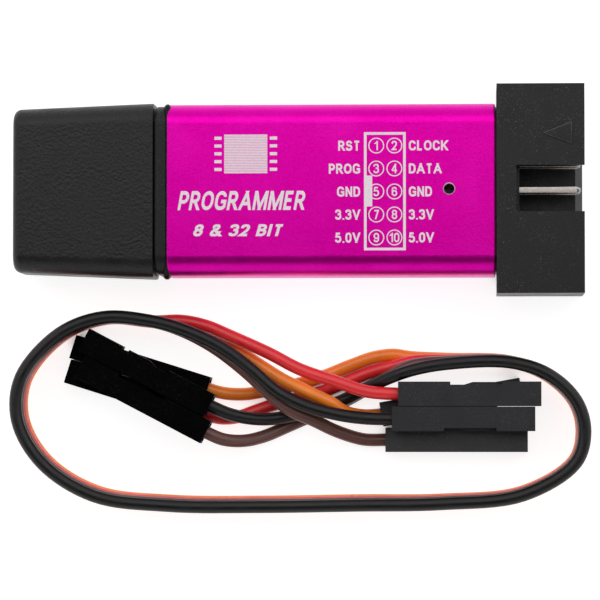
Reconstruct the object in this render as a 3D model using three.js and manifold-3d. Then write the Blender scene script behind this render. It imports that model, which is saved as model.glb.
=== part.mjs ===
// USB microcontroller programmer with its four-wire jumper lead.
// Millimetres, +Z up, +X towards the pin header. The header's underside rests on z = 0 and the
// programmer's bounding box is centred on x = 0, y = 0. The jumper lead lies loose in front of it.
import * as THREE from "three";
import { mergeVertices } from "three/addons/utils/BufferGeometryUtils.js";
import Module from "manifold-3d";

const wasm = await Module();
wasm.setup();

// ---- Driving dimensions, programmer ----
const LENGTH = 55.7; // cap end to header rim
const JOIN_GAP = 0.15; // between cap, collar, tube and header
const HEADER = { length: 8.5, width: 20.32, height: 8.9, wall: 1.22, floor: 1.9, lead: 0.7 };
const KEY_NOTCH_WIDTH = 4.5;
const PITCH = 2.54;
const PIN = { side: 0.64, length: 11.7, recess: 0.28, taper: 0.45 };
const TUBE = { length: 31.9, width: 16.8, height: 8, radius: 2 };
const TUBE_BORE = { wall: 1, sideWall: 1.4, radius: 0.9 };
const LED_HOLE = { fromHeader: 4.6, radius: 0.55 };
const BOARD = { thickness: 1.6, width: 14.8, clearance: 0.1, slotLength: 2.9, slotWidth: 12.2 };
const COLLAR = { thickness: 1.15, width: 16.5, height: 7.8, radius: 1.9, spigot: 1.3 };
const PLUG = { length: 16.2, width: 12, height: 4.5, wall: 0.3, clear: 0.1, radius: 0.5 };
const PLUG_PROUD = 12.05; // plug length outside the collar
const PLUG_WINDOW = { from: 5.2, length: 2, width: 2.3, offset: 2.85 }; // for a port's springs
const PLUG_EAR = { length: 1.3, reach: 1, fromBack: 0.1 };
const TONGUE = { width: 11.2, thickness: 1.8, setBack: 0.7 };
const CONTACT = { width: 1, thickness: 0.25, places: [3.5, 1, -1, -3.5] };
const CAP = { length: 13.8, width: 16.87, height: 8.1, endWidth: 15.9, radius: 1.9, edge: 0.7 };
const CAP_PLAY = { around: 0.25, end: 0.4 };
const PIN_ONE_MARK = { point: 4.1, base: 1.2, halfWidth: 1.15, y: 5.33, rise: 0.15 };

// ---- Driving dimensions, jumper lead ----
const WIRE = { diameter: 1.27, pitch: 1.3, sides: 8, step: 2.6 };
const SOCKET = { length: 14, side: 2.4, cavity: 1.9, mouth: 1, mouthDepth: 0.9, mouthFlare: 1.4 };
const LATCH = { from: 5.1, to: 10.2, depth: 0.3, window: 1.3 };
const CRIMP = { wireDepth: 1, gap: 0.3, barrel: 3.9, neck: 0.8, side: 1.72, bore: 1.1 };

// ---- Places that follow from them ----
const RIM_X = LENGTH / 2;
const HEADER_BACK_X = RIM_X - HEADER.length;
const TUBE_FRONT_X = HEADER_BACK_X - JOIN_GAP;
const TUBE_BACK_X = TUBE_FRONT_X - TUBE.length;
const COLLAR_FRONT_X = TUBE_BACK_X - 0.05;
const COLLAR_BACK_X = COLLAR_FRONT_X - COLLAR.thickness;
const CAP_MOUTH_X = -RIM_X + CAP.length;
const MID_Z = HEADER.height / 2;
const BOARD_TOP_Z = MID_Z + BOARD.thickness / 2;
const BOARD_BACK_X = TUBE_BACK_X + 0.2;
const BOARD_FRONT_X = TUBE_FRONT_X - 0.3;
const PLUG_TIP_X = COLLAR_BACK_X - PLUG_PROUD;
const PLUG_BACK_X = PLUG_TIP_X + PLUG.length;
const CONTACT_Z = MID_Z - 0.05;
const SEATED_Z = BOARD_TOP_Z + 0.05; // underside of a part soldered on the board

const COLORS = {
  anodised: { color: 0xd10f99, roughness: 0.38, metalness: 0.75 },
  blackPlastic: { color: 0x2d2b2e, roughness: 0.55, metalness: 0 },
  tin: { color: 0xaaa5a0, roughness: 0.3, metalness: 1 },
  steel: { color: 0xc4c6c8, roughness: 0.28, metalness: 1 },
  gold: { color: 0xd9b25a, roughness: 0.3, metalness: 1 },
  board: { color: 0x1d4a8f, roughness: 0.5, metalness: 0 },
  chip: { color: 0x1c1c1e, roughness: 0.6, metalness: 0 },
  ceramic: { color: 0xb08a62, roughness: 0.6, metalness: 0 },
  lens: { color: 0xf2efe4, roughness: 0.3, metalness: 0 },
  blackWire: { color: 0x2b2b2d, roughness: 0.5, metalness: 0 },
  brownWire: { color: 0x4b2d28, roughness: 0.5, metalness: 0 },
  redWire: { color: 0xc8232d, roughness: 0.5, metalness: 0 },
  orangeWire: { color: 0xf5731e, roughness: 0.5, metalness: 0 },
};

// ---- Solids ----

// A closed geometry as a solid that can be joined and cut.
function solid(geometry) {
  const bare = geometry.index ? geometry.toNonIndexed() : geometry.clone();
  bare.deleteAttribute("normal");
  bare.deleteAttribute("uv");
  const merged = mergeVertices(bare, 1e-4);
  const mesh = new wasm.Mesh({
    numProp: 3,
    vertProperties: merged.attributes.position.array,
    triVerts: new Uint32Array(merged.index.array),
  });
  return new wasm.Manifold(mesh);
}

function geometryOf(manifold) {
  const mesh = manifold.getMesh();
  const geometry = new THREE.BufferGeometry();
  geometry.setAttribute("position", new THREE.BufferAttribute(mesh.vertProperties, 3));
  geometry.setIndex(new THREE.BufferAttribute(mesh.triVerts, 1));
  const flat = geometry.toNonIndexed();
  flat.computeVertexNormals();
  return flat;
}

function box(x, y, z) {
  const geometry = new THREE.BoxGeometry(x[1] - x[0], y[1] - y[0], z[1] - z[0]);
  return geometry.translate((x[0] + x[1]) / 2, (y[0] + y[1]) / 2, (z[0] + z[1]) / 2);
}

function inOrder(a, b) {
  return a < b ? [a, b] : [b, a];
}

// A square-ended block about the X axis whose width and height change from w0, h0 to w1, h1.
function flaredBlock(x, w0, h0, w1, h1, z = 0) {
  const geometry = box(x, [-0.5, 0.5], [-0.5, 0.5]);
  const place = geometry.attributes.position;
  for (let i = 0; i < place.count; i++) {
    const far = place.getX(i) > (x[0] + x[1]) / 2;
    place.setY(i, place.getY(i) * (far ? w1 : w0));
    place.setZ(i, place.getZ(i) * (far ? h1 : h0) + z);
  }
  return geometry;
}

function roundedRectangle(width, height, radius) {
  const x = width / 2 - radius;
  const y = height / 2 - radius;
  const shape = new THREE.Shape();
  shape.absarc(x, y, radius, 0, Math.PI / 2);
  shape.absarc(-x, y, radius, Math.PI / 2, Math.PI);
  shape.absarc(-x, -y, radius, Math.PI, Math.PI * 1.5);
  shape.absarc(x, -y, radius, Math.PI * 1.5, Math.PI * 2);
  shape.closePath();
  return shape;
}

const ALONG_X = new THREE.Matrix4().makeBasis(
  new THREE.Vector3(0, 1, 0),
  new THREE.Vector3(0, 0, 1),
  new THREE.Vector3(1, 0, 0),
);

// A section drawn across the object, extruded from x0 to x1 about the middle height.
function extrudeX(shape, x0, x1) {
  const depth = x1 - x0;
  const geometry = new THREE.ExtrudeGeometry(shape, { depth, bevelEnabled: false, curveSegments: 6 });
  return geometry.applyMatrix4(ALONG_X).translate(x0, 0, MID_Z);
}

function roundedBar(x0, x1, width, height, radius) {
  return extrudeX(roundedRectangle(width, height, radius), x0, x1);
}

// A profile of [x, z] points extruded across the object to the given width about y.
function extrudeY(points, y, width) {
  const shape = new THREE.Shape(points.map(([x, z]) => new THREE.Vector2(x, z)));
  const geometry = new THREE.ExtrudeGeometry(shape, { depth: width, bevelEnabled: false });
  return geometry.rotateX(Math.PI / 2).translate(0, y + width / 2, 0);
}

const group = new THREE.Group();

function add(name, shape, finish, parent = group) {
  const geometry = shape.isBufferGeometry ? shape : geometryOf(shape);
  const mesh = new THREE.Mesh(geometry, new THREE.MeshStandardMaterial(COLORS[finish]));
  mesh.name = name;
  parent.add(mesh);
  return mesh;
}

// ---- Housing of the programmer ----

function tubeShell() {
  const outside = solid(roundedBar(TUBE_BACK_X, TUBE_FRONT_X, TUBE.width, TUBE.height, TUBE.radius));
  const bore = roundedBar(
    TUBE_BACK_X - 1,
    TUBE_FRONT_X + 1,
    TUBE.width - 2 * TUBE_BORE.sideWall,
    TUBE.height - 2 * TUBE_BORE.wall,
    TUBE_BORE.radius,
  );
  const grooveWidth = BOARD.width / 2 + BOARD.clearance;
  const grooveHeight = BOARD.thickness / 2 + BOARD.clearance;
  const groove = box(
    [TUBE_BACK_X - 1, TUBE_FRONT_X + 1],
    [-grooveWidth, grooveWidth],
    [MID_Z - grooveHeight, MID_Z + grooveHeight],
  );
  const hole = new THREE.CylinderGeometry(LED_HOLE.radius, LED_HOLE.radius, 3, 24);
  hole.rotateX(Math.PI / 2).translate(HEADER_BACK_X - LED_HOLE.fromHeader, 0, MID_Z + TUBE.height / 2);
  return outside.subtract(solid(bore)).subtract(solid(groove)).subtract(solid(hole));
}

function plugOpening(x0, x1) {
  const width = PLUG.width + 2 * PLUG.clear;
  const height = PLUG.height + 2 * PLUG.clear;
  return solid(roundedBar(x0, x1, width, height, PLUG.radius + PLUG.clear));
}

// The collar closes the tube at the plug end; its two spigots grip inside the tube, above and
// below the board.
function collar() {
  const { width, height, radius } = COLLAR;
  const flange = solid(roundedBar(COLLAR_BACK_X, COLLAR_FRONT_X, width, height, radius));
  const spigot = roundedBar(
    COLLAR_FRONT_X - 0.1,
    COLLAR_FRONT_X + COLLAR.spigot,
    TUBE.width - 2 * TUBE_BORE.sideWall - 2 * BOARD.clearance,
    TUBE.height - 2 * TUBE_BORE.wall - 2 * BOARD.clearance,
    TUBE_BORE.radius - BOARD.clearance,
  );
  const boardSlot = box(
    [COLLAR_FRONT_X, COLLAR_FRONT_X + COLLAR.spigot + 1],
    [-TUBE.width, TUBE.width],
    [MID_Z - BOARD.thickness / 2 - BOARD.clearance, BOARD_TOP_Z + BOARD.clearance],
  );
  return flange
    .add(solid(spigot))
    .subtract(solid(boardSlot))
    .subtract(plugOpening(COLLAR_BACK_X - 1, COLLAR_FRONT_X + COLLAR.spigot + 1));
}

// The cap narrows towards its closed end, as a moulding does to leave its tool.
function usbCap() {
  const shape = roundedRectangle(CAP.width, CAP.height, CAP.radius);
  const block = new THREE.ExtrudeGeometry(shape, {
    depth: CAP.length,
    bevelThickness: CAP.edge,
    bevelSize: CAP.edge,
    bevelOffset: -CAP.edge,
    bevelSegments: 3,
    curveSegments: 6,
  });
  block.applyMatrix4(ALONG_X).translate(-RIM_X + CAP.edge, 0, 0);
  const draft = (1 - CAP.endWidth / CAP.width) / CAP.length;
  const place = block.attributes.position;
  for (let i = 0; i < place.count; i++) {
    const scale = 1 - draft * (CAP_MOUTH_X - place.getX(i));
    place.setY(i, place.getY(i) * scale);
    place.setZ(i, place.getZ(i) * scale + MID_Z);
  }
  const beyond = box([CAP_MOUTH_X, CAP_MOUTH_X + 5], [-20, 20], [-20, 20]);
  const cavity = roundedBar(
    PLUG_TIP_X - CAP_PLAY.end,
    CAP_MOUTH_X + 1,
    PLUG.width + 2 * CAP_PLAY.around,
    PLUG.height + 2 * CAP_PLAY.around,
    PLUG.radius + CAP_PLAY.around,
  );
  return solid(block).subtract(solid(beyond)).subtract(solid(cavity));
}

// ---- USB plug ----

function plugShell() {
  const bar = solid(roundedBar(PLUG_TIP_X, PLUG_BACK_X, PLUG.width, PLUG.height, PLUG.radius));
  const bore = roundedBar(
    PLUG_TIP_X - 1,
    PLUG_BACK_X + 1,
    PLUG.width - 2 * PLUG.wall,
    PLUG.height - 2 * PLUG.wall,
    PLUG.radius - PLUG.wall,
  );
  let shell = bar.subtract(solid(bore));
  const windowX = [PLUG_TIP_X + PLUG_WINDOW.from, PLUG_TIP_X + PLUG_WINDOW.from + PLUG_WINDOW.length];
  const earFront = PLUG_BACK_X - PLUG_EAR.fromBack;
  for (const side of [-1, 1]) {
    const y = side * PLUG_WINDOW.offset;
    const windowY = [y - PLUG_WINDOW.width / 2, y + PLUG_WINDOW.width / 2];
    shell = shell.subtract(solid(box(windowX, windowY, [0, HEADER.height])));
    const earY = inOrder(side * (PLUG.width / 2 - 0.1), side * (PLUG.width / 2 + PLUG_EAR.reach));
    const ear = box([earFront - PLUG_EAR.length, earFront], earY, [SEATED_Z, SEATED_Z + PLUG.wall]);
    shell = shell.add(solid(ear));
  }
  return shell;
}

// Insulating tongue with a taller block at the back; the contacts pass through tunnels in the block.
function plugTongue() {
  const floor = MID_Z - PLUG.height / 2 + PLUG.wall + 0.05;
  const half = TONGUE.width / 2;
  const front = PLUG_TIP_X + TONGUE.setBack;
  const back = PLUG_BACK_X - 0.9;
  const top = CONTACT_Z - 0.05;
  const nose = [
    [front, floor],
    [back, floor],
    [back, top],
    [front + 0.6, top],
    [front, top - 0.5],
  ];
  const block = box([back - 3, back], [-half, half], [floor, floor + PLUG.height - 2 * PLUG.wall - 0.1]);
  let tongue = solid(extrudeY(nose, 0, TONGUE.width)).add(solid(block));
  for (const y of CONTACT.places) {
    const width = CONTACT.width / 2 + 0.06;
    const tunnelTop = CONTACT_Z + CONTACT.thickness + 0.08;
    const tunnel = box([back - 4, back + 1], [y - width, y + width], [top, tunnelTop]);
    tongue = tongue.subtract(solid(tunnel));
  }
  return tongue;
}

// A contact lies on the tongue and steps up onto the board. The two outer, power, contacts reach
// further out.
function plugContact(y) {
  const front = PLUG_TIP_X + (Math.abs(y) > 2 ? 1.6 : 2.6);
  const bend = PLUG_BACK_X - 0.75;
  const land = bend + 0.7;
  const foot = land + 1.4;
  const low = CONTACT_Z;
  const t = CONTACT.thickness;
  const profile = [
    [front, low],
    [bend, low],
    [land, SEATED_Z],
    [foot, SEATED_Z],
    [foot, SEATED_Z + t],
    [land - 0.12, SEATED_Z + t],
    [bend - 0.12, low + t],
    [front, low + t],
  ];
  return extrudeY(profile, y, CONTACT.width);
}

// ---- Pin header ----

function headerShroud() {
  const half = HEADER.width / 2;
  const innerHalf = half - HEADER.wall;
  const innerHeight = HEADER.height - 2 * HEADER.wall;
  const floorX = HEADER_BACK_X + HEADER.floor;
  const cavityZ = [HEADER.wall, HEADER.height - HEADER.wall];
  const cavity = box([floorX, RIM_X + 1], [-innerHalf, innerHalf], cavityZ);
  const flare = flaredBlock(
    [RIM_X - HEADER.lead, RIM_X + HEADER.lead],
    2 * innerHalf,
    innerHeight,
    2 * innerHalf + 2 * HEADER.lead,
    innerHeight + 2 * HEADER.lead,
    MID_Z,
  );
  const notch = box(
    [floorX, RIM_X + 1],
    [-KEY_NOTCH_WIDTH / 2, KEY_NOTCH_WIDTH / 2],
    [MID_Z, HEADER.height + 1],
  );
  let shroud = solid(box([HEADER_BACK_X, RIM_X], [-half, half], [0, HEADER.height]))
    .subtract(solid(cavity))
    .subtract(solid(flare))
    .subtract(solid(notch));
  const hole = PIN.side / 2 + 0.05;
  for (const [y, z] of pinPlaces()) {
    const bore = box([HEADER_BACK_X - 1, floorX + 1], [y - hole, y + hole], [z - hole, z + hole]);
    shroud = shroud.subtract(solid(bore));
  }
  return shroud.add(solid(pinOneMark()));
}

// Raised triangle beside pin 1, pointing to the back; its point and base are measured from the rim.
function pinOneMark() {
  const { point, base, halfWidth, y, rise } = PIN_ONE_MARK;
  const mark = new THREE.Shape([
    new THREE.Vector2(RIM_X - point, y),
    new THREE.Vector2(RIM_X - base, y - halfWidth),
    new THREE.Vector2(RIM_X - base, y + halfWidth),
  ]);
  const sunk = 0.1;
  const geometry = new THREE.ExtrudeGeometry(mark, { depth: rise + sunk, bevelEnabled: false });
  return geometry.translate(0, 0, HEADER.height - sunk);
}

// Two rows of five, odd numbers in the upper row, straddling the board.
function pinPlaces() {
  const places = [];
  for (let column = 0; column < 5; column++) {
    for (const row of [1, -1]) {
      places.push([(2 - column) * PITCH, MID_Z + (row * PITCH) / 2]);
    }
  }
  return places;
}

function headerPin(y, z) {
  const tip = RIM_X - PIN.recess;
  const tail = tip - PIN.length;
  const small = PIN.side / 2;
  const bar = box([tail + PIN.taper, tip - PIN.taper], [-small, small], [-small, small]);
  const front = flaredBlock([tip - PIN.taper, tip], PIN.side, PIN.side, small, small);
  const back = flaredBlock([tail, tail + PIN.taper], small, small, PIN.side, PIN.side);
  return solid(bar).add(solid(front)).add(solid(back)).translate([0, y, z]);
}

// ---- Circuit board and what is soldered on it ----

function board() {
  const half = BOARD.width / 2;
  const z = [MID_Z - BOARD.thickness / 2, BOARD_TOP_Z];
  const plate = box([BOARD_BACK_X, BOARD_FRONT_X], [-half, half], z);
  const slotHalf = BOARD.slotWidth / 2;
  const slotX = [BOARD_BACK_X - 1, BOARD_BACK_X + BOARD.slotLength];
  const slot = box(slotX, [-slotHalf, slotHalf], [0, HEADER.height]);
  return solid(plate).subtract(solid(slot));
}

// One bent lead drawn outwards from the body's edge, foot down on the board.
function bentLead(edge, reach, bodyMiddle, width) {
  const t = 0.14;
  const profile = [
    [edge - 0.2, bodyMiddle - t / 2],
    [edge + 0.2, bodyMiddle - t / 2],
    [edge + 0.38, SEATED_Z],
    [reach, SEATED_Z],
    [reach, SEATED_Z + t],
    [edge + 0.48, SEATED_Z + t],
    [edge + 0.3, bodyMiddle + t / 2],
    [edge - 0.2, bodyMiddle + t / 2],
  ];
  return extrudeY(profile, 0, width);
}

// A flat 7 mm package with twelve leads on each edge.
function microcontroller() {
  const side = 7;
  const leadPitch = 0.5;
  const body = box([-side / 2, side / 2], [-side / 2, side / 2], [SEATED_Z + 0.08, SEATED_Z + 1.45]);
  let chip = solid(body);
  for (let edge = 0; edge < 4; edge++) {
    for (let lead = 0; lead < 12; lead++) {
      const strip = bentLead(side / 2, 4.5, SEATED_Z + 0.75, 0.22);
      strip.translate(0, (lead - 5.5) * leadPitch, 0).rotateZ((edge * Math.PI) / 2);
      chip = chip.add(solid(strip));
    }
  }
  return chip;
}

function regulator() {
  let body = solid(box([-1.45, 1.45], [-0.65, 0.65], [SEATED_Z + 0.05, SEATED_Z + 1]));
  const leads = [
    [-0.95, -1],
    [0.95, -1],
    [0, 1],
  ];
  for (const [x, side] of leads) {
    const strip = bentLead(0.65, 1.2, SEATED_Z + 0.5, 0.4).rotateZ((side * Math.PI) / 2);
    body = body.add(solid(strip.translate(x, 0, 0)));
  }
  return body;
}

function crystal() {
  const base = box([-2.5, 2.5], [-1.6, 1.6], [SEATED_Z, SEATED_Z + 0.45]);
  const lid = flaredBlock([0, 0.65], 4.6, 2.8, 4.4, 2.6).rotateY(-Math.PI / 2);
  lid.rotateZ(Math.PI / 2).translate(0, 0, SEATED_Z + 0.4);
  return solid(base).add(solid(lid));
}

function twoPadPart(height) {
  const middle = box([-0.5, 0.5], [-0.38, 0.38], [SEATED_Z + 0.02, SEATED_Z + height - 0.02]);
  const ends = [-1, 1].map((side) => {
    return solid(box(inOrder(side * 0.45, side * 0.8), [-0.4, 0.4], [SEATED_Z, SEATED_Z + height]));
  });
  return solid(middle).add(ends[0]).add(ends[1]);
}

function statusLed() {
  const base = box([-0.8, 0.8], [-0.4, 0.4], [SEATED_Z, SEATED_Z + 0.3]);
  const lens = flaredBlock([0, 0.4], 0.7, 1, 0.5, 0.8).rotateY(-Math.PI / 2);
  return solid(base).add(solid(lens.translate(0, 0, SEATED_Z + 0.25)));
}

// ---- Jumper lead ----

// Where each one-way socket housing lies: the middle of its wire end, the way its open end points
// and its roll.
const HOUSINGS = {
  black_a: { at: [-8.8, -21, 3.65], yaw: 152.3, roll: 90 },
  brown_a: { at: [-9.15, -23.63, 3.65], yaw: 152.3, roll: 90 },
  orange_a: { at: [-9.18, -19.33, 1.2], yaw: 162.5, roll: 180 },
  red_a: { at: [-9.7, -21.75, 1.2], yaw: 162.5, roll: 180 },
  red_b: { at: [9.7, -19.85, 3.65], yaw: 0, roll: -90 },
  black_b: { at: [9.1, -22.3, 3.65], yaw: 0, roll: 90 },
  brown_b: { at: [8.4, -24.35, 1.2], yaw: 0, roll: 180 },
  orange_b: { at: [8, -21.85, 1.2], yaw: 10, roll: 180 },
};

// The stretch where the four wires are still one ribbon standing on its edge: x, y and how far, in
// degrees, its lower wires lean out of the loop, or into it where the lean is below zero. Black is on
// top, then brown, red and orange.
const RIBBON = [
  [11.1, -17.5, 20], [14.5, -16.9, 8], [20.6, -16.75, 2], [24.4, -17.95, -1], [27.1, -20.5, -2],
  [27.95, -23.5, -3], [27.05, -26.6, -3], [21.9, -29.75, -4], [14, -30.6, -5], [5.7, -30.75, -6],
  [-4, -30.9, -6], [-13, -30.8, -6], [-20.2, -29.85, -5], [-25.3, -26.65, -3], [-27.75, -22.4, -2],
  [-27.4, -18.2, -1], [-23.6, -13.9, 0], [-19.3, -12.3, 0], [-14.7, -12.65, 0],
];

// Each wire's place below the top of the ribbon, and its own route between each housing and the ribbon.
const WIRES = {
  black: {
    below: 0,
    start: [
      [-7.1, -21.75, 3.5], [-5.2, -22.2, 2.85], [-3.1, -22.3, 2.1], [-0.8, -21.95, 1.9],
      [1.7, -21.3, 1.95], [4.1, -20.5, 1.95], [6.3, -19.4, 2.25], [8.5, -18.4, 3.5],
    ],
    finish: [
      [-11.5, -13.5, 4.5], [-7.8, -15.2, 4.35], [-4.9, -17.3, 4.3], [-2.2, -19.6, 4.35],
      [0.1, -20.8, 4.4], [2.2, -21.5, 4.5], [4.5, -22, 4.3], [6.7, -22.25, 3.8],
    ],
  },
  brown: {
    below: 1,
    start: [
      [-7.55, -24.3, 3.4], [-5.6, -24.45, 2.5], [-3.6, -24, 1.4], [-1.5, -23.1, 0.72], [1, -22, 0.65],
      [4.2, -20.6, 0.65], [6.4, -19.4, 0.8], [8.6, -18.2, 2],
    ],
    finish: [
      [-11.6, -13.6, 3.2], [-8.4, -15.3, 2.95], [-5.4, -17.6, 2.9], [-2.9, -19.9, 3], [-1, -21.4, 3.25],
      [1.3, -22.4, 3.1], [3.6, -23.5, 2.2], [6.2, -24.3, 1.3],
    ],
  },
  red: {
    below: 2,
    start: [
      [-8, -22.2, 1.1], [-6.3, -22.1, 0.78], [-4.4, -21.45, 0.65], [-2.3, -20.75, 0.65],
      [0, -20.2, 0.65], [2.4, -19.5, 0.65], [4.9, -18.45, 0.65], [7, -17.65, 0.85], [8.9, -17.15, 1.2],
    ],
    finish: [
      [-11.7, -12.6, 2], [-9.3, -13.1, 2.3], [-6.9, -14.1, 2.6], [-3.1, -15.8, 3], [0, -17.4, 3.3],
      [3.5, -18.6, 3.8], [6.6, -19.6, 4],
    ],
  },
  orange: {
    below: 3,
    start: [
      [-7.5, -19.75, 1], [-5.3, -19.8, 0.7], [-2.5, -19.25, 0.65], [0, -18.75, 0.65], [2.4, -18, 0.65],
      [4.9, -17, 0.65], [7.2, -16.2, 0.65], [9.2, -15.95, 0.65],
    ],
    finish: [
      [-11.8, -13.1, 0.65], [-8.5, -14.3, 0.85], [-5.5, -16, 1.5], [-1.8, -18.35, 2.7],
      [1.15, -19.8, 3.45], [3.15, -20.75, 3.4], [4.5, -21.6, 2.75], [6.3, -21.95, 1.65],
    ],
  },
};

const radians = THREE.MathUtils.degToRad;

// A group whose +X runs from the housing's wire end to its open end.
function housingFrame({ at, yaw, roll }) {
  const frame = new THREE.Group();
  frame.position.set(...at);
  frame.rotation.set(radians(roll), 0, radians(yaw), "ZYX");
  return frame;
}

// A point on the housing's own axis, a given depth inside its wire end.
function insideHousing({ at, yaw }, depth) {
  const reach = new THREE.Vector3(Math.cos(radians(yaw)), Math.sin(radians(yaw)), 0);
  return new THREE.Vector3(...at).addScaledVector(reach, depth);
}

// Where the ribbon's wire lies at one of the ribbon's points.
function ribbonPoint(index, below) {
  const [x, y, lean] = RIBBON[index];
  const before = RIBBON[Math.max(index - 1, 0)];
  const after = RIBBON[Math.min(index + 1, RIBBON.length - 1)];
  const along = new THREE.Vector2(after[0] - before[0], after[1] - before[1]).normalize();
  const out = below * WIRE.pitch * Math.sin(radians(lean));
  const up = (3 - below) * WIRE.pitch * Math.cos(radians(lean));
  return new THREE.Vector3(x - along.y * out, y + along.x * out, WIRE.diameter / 2 + 0.015 + up);
}

function wireRoute(name) {
  const { below, start, finish } = WIRES[name];
  const first = HOUSINGS[name + "_a"];
  const last = HOUSINGS[name + "_b"];
  return [
    insideHousing(first, CRIMP.wireDepth),
    insideHousing(first, 0),
    ...start.map((point) => new THREE.Vector3(...point)),
    ...RIBBON.map((_, index) => ribbonPoint(index, below)),
    ...finish.map((point) => new THREE.Vector3(...point)),
    insideHousing(last, 0),
    insideHousing(last, CRIMP.wireDepth),
  ];
}

function wireTube(name) {
  const section = new THREE.Shape();
  for (let side = 0; side < WIRE.sides; side++) {
    const angle = ((side + 0.5) * 2 * Math.PI) / WIRE.sides;
    const point = [(Math.cos(angle) * WIRE.diameter) / 2, (Math.sin(angle) * WIRE.diameter) / 2];
    if (side) section.lineTo(...point);
    else section.moveTo(...point);
  }
  const path = new THREE.CatmullRomCurve3(wireRoute(name));
  path.arcLengthDivisions = 2000;
  const steps = Math.round(path.getLength() / WIRE.step);
  return new THREE.ExtrudeGeometry(section, { steps, extrudePath: path, bevelEnabled: false });
}

// One-way housing: a square bore for the terminal, a small flared mouth for the pin, and on its
// latch side a shallow recess with a window over the terminal.
function socketHousing() {
  const { length, side, mouth } = SOCKET;
  const half = side / 2;
  const bore = SOCKET.cavity / 2;
  const boreEnd = length - SOCKET.mouthDepth;
  const windowHalf = LATCH.window / 2;
  const wide = SOCKET.mouthFlare + 0.2;
  return solid(box([0, length], [-half, half], [-half, half]))
    .subtract(solid(box([-1, boreEnd], [-bore, bore], [-bore, bore])))
    .subtract(solid(flaredBlock([boreEnd - 1, length + 1], mouth, mouth, mouth, mouth)))
    .subtract(solid(flaredBlock([boreEnd + 0.4, length + 0.2], mouth, mouth, wide, wide)))
    .subtract(solid(box([LATCH.from, LATCH.to], [-side, side], [half - LATCH.depth, half + 1])))
    .subtract(solid(box([LATCH.from + 1.2, LATCH.to - 0.6], [-windowHalf, windowHalf], [0, half + 1])));
}

// Crimped terminal: barrel around the wire's end, neck and square receptacle open to the mouth.
function crimpTerminal() {
  const start = CRIMP.wireDepth + CRIMP.gap;
  const neck = start + CRIMP.barrel;
  const socket = neck + CRIMP.neck;
  const end = SOCKET.length - SOCKET.mouthDepth - 0.1;
  const barrel = new THREE.CylinderGeometry(0.75, 0.75, CRIMP.barrel, 12);
  barrel.rotateZ(Math.PI / 2).translate(start + CRIMP.barrel / 2, 0, 0);
  const half = CRIMP.side / 2;
  const bore = CRIMP.bore / 2;
  return solid(barrel)
    .add(solid(box([neck - 0.2, socket + 0.2], [-0.5, 0.5], [-0.5, 0.5])))
    .add(solid(box([socket, end], [-half, half], [-half, half])))
    .subtract(solid(box([socket + 0.4, end + 1], [-bore, bore], [-bore, bore])));
}

// ---- Assembly ----

add("usb_cap", usbCap(), "blackPlastic");
add("end_collar", collar(), "blackPlastic");
add("tube_shell", tubeShell(), "anodised");
add("usb_plug_shell", plugShell(), "steel");
add("usb_plug_tongue", plugTongue(), "blackPlastic");
CONTACT.places.forEach((y, index) => add("usb_contact_" + (index + 1), plugContact(y), "gold"));

add("header_shroud", headerShroud(), "blackPlastic");
pinPlaces().forEach(([y, z], index) => add("header_pin_" + (index + 1), headerPin(y, z), "tin"));

add("circuit_board", board(), "board");
add("microcontroller", microcontroller(), "chip").position.set(3.2, 0, 0);
add("crystal", crystal(), "steel").position.set(-4.6, -3.4, 0);
add("regulator", regulator(), "chip").position.set(-4.4, 4, 0);
const ledX = HEADER_BACK_X - LED_HOLE.fromHeader;
add("status_led_red", statusLed(), "lens").position.set(ledX, 0.55, 0);
add("status_led_blue", statusLed(), "lens").position.set(ledX, -0.55, 0);
const CAPACITORS = [[-2.6, 5.9], [9.2, 5.4], [9.2, -5.4], [0.4, -6.2]];
CAPACITORS.forEach(([x, y], index) => {
  add("capacitor_" + (index + 1), twoPadPart(0.8), "ceramic").position.set(x, y, 0);
});
const RESISTORS = [[11.4, 2.2], [11.4, -2.2], [-7, 1], [-7, -1]];
RESISTORS.forEach(([x, y], index) => {
  add("resistor_" + (index + 1), twoPadPart(0.45), "chip").position.set(x, y, 0);
});

for (const name of Object.keys(WIRES)) {
  add("wire_" + name, wireTube(name), name + "Wire");
  for (const end of ["a", "b"]) {
    const frame = housingFrame(HOUSINGS[name + "_" + end]);
    add("housing_" + name + "_" + end, socketHousing(), "blackPlastic", frame);
    add("terminal_" + name + "_" + end, crimpTerminal(), "tin", frame);
    group.add(frame);
  }
}

export default group;
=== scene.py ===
"""Looks of a USB microcontroller programmer and its loose jumper lead, built round the CAD frame.

Solids are worked out in millimetres, in the frame's axes, and scaled to metres when they become pieces.
"""

import math
import random

import bmesh
import bpy
from mathutils import Matrix, Vector


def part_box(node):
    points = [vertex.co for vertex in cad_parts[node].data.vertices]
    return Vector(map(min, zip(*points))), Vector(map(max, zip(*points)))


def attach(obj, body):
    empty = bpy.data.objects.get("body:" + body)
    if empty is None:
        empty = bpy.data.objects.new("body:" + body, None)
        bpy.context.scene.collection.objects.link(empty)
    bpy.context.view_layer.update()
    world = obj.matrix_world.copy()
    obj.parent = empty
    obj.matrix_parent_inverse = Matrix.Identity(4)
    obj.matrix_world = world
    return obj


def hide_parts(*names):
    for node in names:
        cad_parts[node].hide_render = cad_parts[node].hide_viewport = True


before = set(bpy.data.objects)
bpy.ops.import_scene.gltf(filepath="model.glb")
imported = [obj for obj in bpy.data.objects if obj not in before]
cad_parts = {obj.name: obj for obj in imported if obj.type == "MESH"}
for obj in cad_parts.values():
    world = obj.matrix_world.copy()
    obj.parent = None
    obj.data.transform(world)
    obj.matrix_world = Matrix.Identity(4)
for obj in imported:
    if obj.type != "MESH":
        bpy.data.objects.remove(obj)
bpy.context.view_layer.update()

MM = 0.001


def span(node):
    """Lowest and highest corner of a CAD node, in millimetres."""
    low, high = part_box(node)
    return low / MM, high / MM


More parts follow.
